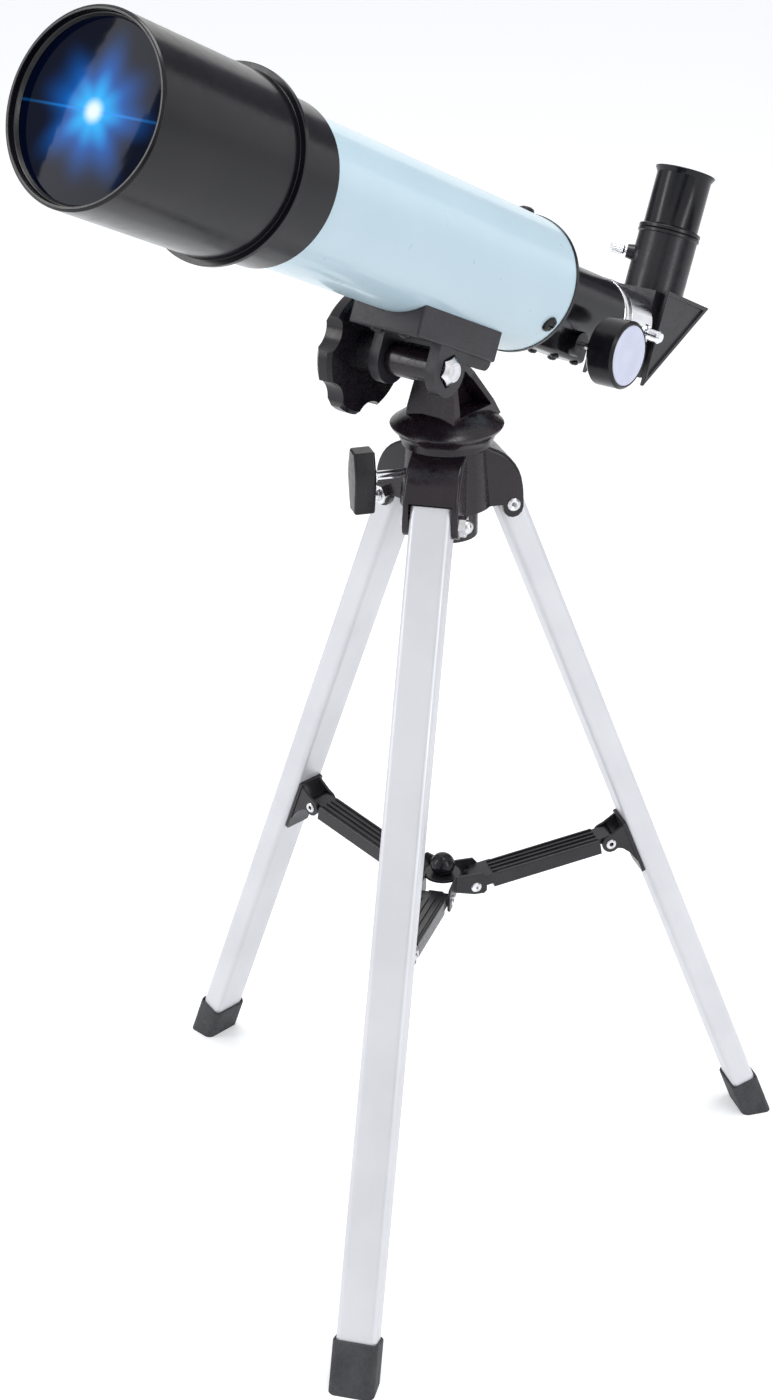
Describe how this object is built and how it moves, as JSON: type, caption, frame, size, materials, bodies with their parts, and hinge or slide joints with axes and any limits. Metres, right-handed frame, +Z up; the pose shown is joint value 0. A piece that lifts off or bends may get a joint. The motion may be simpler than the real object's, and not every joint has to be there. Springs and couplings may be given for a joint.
{
  "type": "telescope on tripod",
  "caption": "Small refracting telescope with a diagonal and eyepiece, held in a tilting saddle on a folding table tripod.",
  "frame": {"origin": "on the floor, under the pan axis of the tripod", "axes": "+Z up along the pan axis; the objective of the telescope points to -Y and upwards; +X is the side of the focus knob and of the tilt bolt head"},
  "size_m": [0.2886, 0.4309, 0.5939],
  "materials": {
    "blue_enamel": "gloss enamel, pale blue-grey",
    "gloss_black": "gloss, near black",
    "black_plastic": "satin, black",
    "black_enamel": "satin black enamel",
    "chrome": "bright chromium plate",
    "steel": "bright zinc-plated steel",
    "pale_cap": "pale lavender-white cap",
    "satin_aluminium": "satin anodised",
    "grey_rubber": "matt dark grey",
    "glass": "polished and coated"
  },
  "bodies": {
    "tripod_crown": {"tripod_crown": "black_enamel", "hinge_bolt_a": "steel", "hinge_bolt_b": "steel", "hinge_bolt_c": "steel"},
    "leg_a": {"leg_tube_a": "satin_aluminium", "leg_foot_a": "grey_rubber", "leg_bracket_a": "black_plastic", "bracket_rivet_a": "steel"},
    "leg_b": {"leg_tube_b": "satin_aluminium", "leg_foot_b": "grey_rubber", "leg_bracket_b": "black_plastic", "bracket_rivet_b": "steel"},
    "leg_c": {"leg_tube_c": "satin_aluminium", "leg_foot_c": "grey_rubber", "leg_bracket_c": "black_plastic", "bracket_rivet_c": "steel"},
    "arm_a": {"spreader_arm_a": "black_plastic"},
    "arm_b": {"spreader_arm_b": "black_plastic"},
    "arm_c": {"spreader_arm_c": "black_plastic"},
    "hub": {"spreader_hub": "black_plastic", "hub_ball": "gloss_black", "hub_rivets": "steel"},
    "pan_head": {"pan_head": "black_enamel", "pan_retaining_screw": "steel"},
    "pan_lock": {"pan_lock_stem": "chrome", "pan_lock_grip": "black_plastic"},
    "telescope": {"dew_shield": "gloss_black", "objective_crown": "glass", "objective_flint": "glass", "lens_retaining_ring": "black_plastic", "main_tube": "blue_enamel", "tube_baffle": "black_plastic", "focuser_body": "gloss_black", "tube_screws": "steel", "housing_screws": "steel", "saddle": "black_plastic", "saddle_screws": "steel", "tilt_bolt": "steel"},
    "tilt_knob": {"tilt_knob": "black_plastic"},
    "drawtube": {"drawtube": "chrome"},
    "pinion": {"pinion_shaft": "steel", "focus_knob": "gloss_black", "focus_knob_cap": "pale_cap"},
    "drawtube_screw": {"drawtube_thumbscrew": "chrome"},
    "diagonal": {"diagonal_body": "black_enamel", "diagonal_cover_left": "black_enamel", "diagonal_cover_right": "black_enamel", "diagonal_prism": "glass"},
    "eyepiece_screw": {"eyepiece_thumbscrew": "chrome"},
    "eyepiece": {"eyepiece_body": "gloss_black", "eyepiece_eye_lens": "glass", "eyepiece_field_lens": "glass"}
  },
  "joints": [
    {"name": "pan", "type": "hinge", "parent": "tripod_crown", "child": "pan_head", "pos_m": [0, 0, 0.384], "axis": [0, 0, 1], "continuous": true},
    {"name": "tilt", "type": "hinge", "parent": "pan_head", "child": "telescope", "pos_m": [0, -0.022, 0.4222], "axis": [1, 0, 0], "range_deg": [-20, 45]},
    {"name": "focus_slide", "type": "slide", "parent": "telescope", "child": "drawtube", "axis": [0, 0.9049, -0.4256], "range_m": [0, 0.04]},
    {"name": "pinion_turn", "type": "hinge", "parent": "telescope", "child": "pinion", "pos_m": [0, 0.08525, 0.40447], "axis": [1, 0, 0], "range_deg": [-800, 5]},
    {"name": "drawtube_screw_turn", "type": "hinge", "parent": "drawtube", "child": "drawtube_screw", "pos_m": [0.016, 0.1342, 0.39835], "axis": [0.9945, -0.0445, -0.0946], "continuous": true},
    {"name": "diagonal_turn", "type": "hinge", "parent": "drawtube", "child": "diagonal", "pos_m": [0, 0.14027, 0.39738], "axis": [0, -0.9049, 0.4256], "continuous": true},
    {"name": "eyepiece_screw_turn", "type": "hinge", "parent": "diagonal", "child": "eyepiece_screw", "pos_m": [0, 0.17428, 0.42083], "axis": [-0.866, -0.4525, 0.2128], "continuous": true},
    {"name": "eyepiece_slide", "type": "slide", "parent": "diagonal", "child": "eyepiece", "axis": [0, 0.4256, 0.9049], "range_m": [0, 0.02]},
    {"name": "tilt_knob_turn", "type": "hinge", "parent": "telescope", "child": "tilt_knob", "pos_m": [-0.025, -0.022, 0.4222], "axis": [-1, 0, 0], "continuous": true},
    {"name": "pan_lock_turn", "type": "hinge", "parent": "tripod_crown", "child": "pan_lock", "pos_m": [0, 0, 0.369], "axis": [-0.6024, -0.7982, 0], "continuous": true},
    {"name": "leg_a_fold", "type": "hinge", "parent": "tripod_crown", "child": "leg_a", "pos_m": [0.01053, -0.02486, 0.3538], "axis": [0.9208, 0.3901, 0], "range_deg": [0, 20.4]},
    {"name": "leg_b_fold", "type": "hinge", "parent": "tripod_crown", "child": "leg_b", "pos_m": [0.01626, 0.02155, 0.3538], "axis": [-0.7982, 0.6024, 0], "range_deg": [0, 20.6]},
    {"name": "leg_c_fold", "type": "hinge", "parent": "tripod_crown", "child": "leg_c", "pos_m": [-0.0268, 0.00331, 0.3538], "axis": [-0.1226, -0.9925, 0], "range_deg": [0, 20.6]},
    {"name": "arm_a_turn", "type": "hinge", "parent": "leg_a", "child": "arm_a", "pos_m": [0.03195, -0.07541, 0.1719], "axis": [0.9208, 0.3901, 0], "range_deg": [-105, 1]},
    {"name": "arm_b_turn", "type": "hinge", "parent": "leg_b", "child": "arm_b", "pos_m": [0.04933, 0.06537, 0.1719], "axis": [-0.7982, 0.6024, 0], "range_deg": [-105, 1]},
    {"name": "arm_c_turn", "type": "hinge", "parent": "leg_c", "child": "arm_c", "pos_m": [-0.08128, 0.01004, 0.1719], "axis": [-0.1226, -0.9925, 0], "range_deg": [-105, 1]},
    {"name": "hub_slide", "type": "slide", "parent": "tripod_crown", "child": "hub", "axis": [0, 0, -1], "range_m": [0, 0.0655]}
  ],
  "couplings": [
    {"joint": "pinion_turn", "follows": "focus_slide", "rad_per_m": -344.83},
    {"joint": "leg_b_fold", "follows": "leg_a_fold", "ratio": 1},
    {"joint": "leg_c_fold", "follows": "leg_a_fold", "ratio": 1},
    {"joint": "arm_a_turn", "follows": "leg_a_fold", "ratio": -5.1},
    {"joint": "arm_b_turn", "follows": "leg_a_fold", "ratio": -5.1},
    {"joint": "arm_c_turn", "follows": "leg_a_fold", "ratio": -5.1},
    {"joint": "hub_slide", "follows": "leg_a_fold", "m_per_rad": 0.18116}
  ]
}
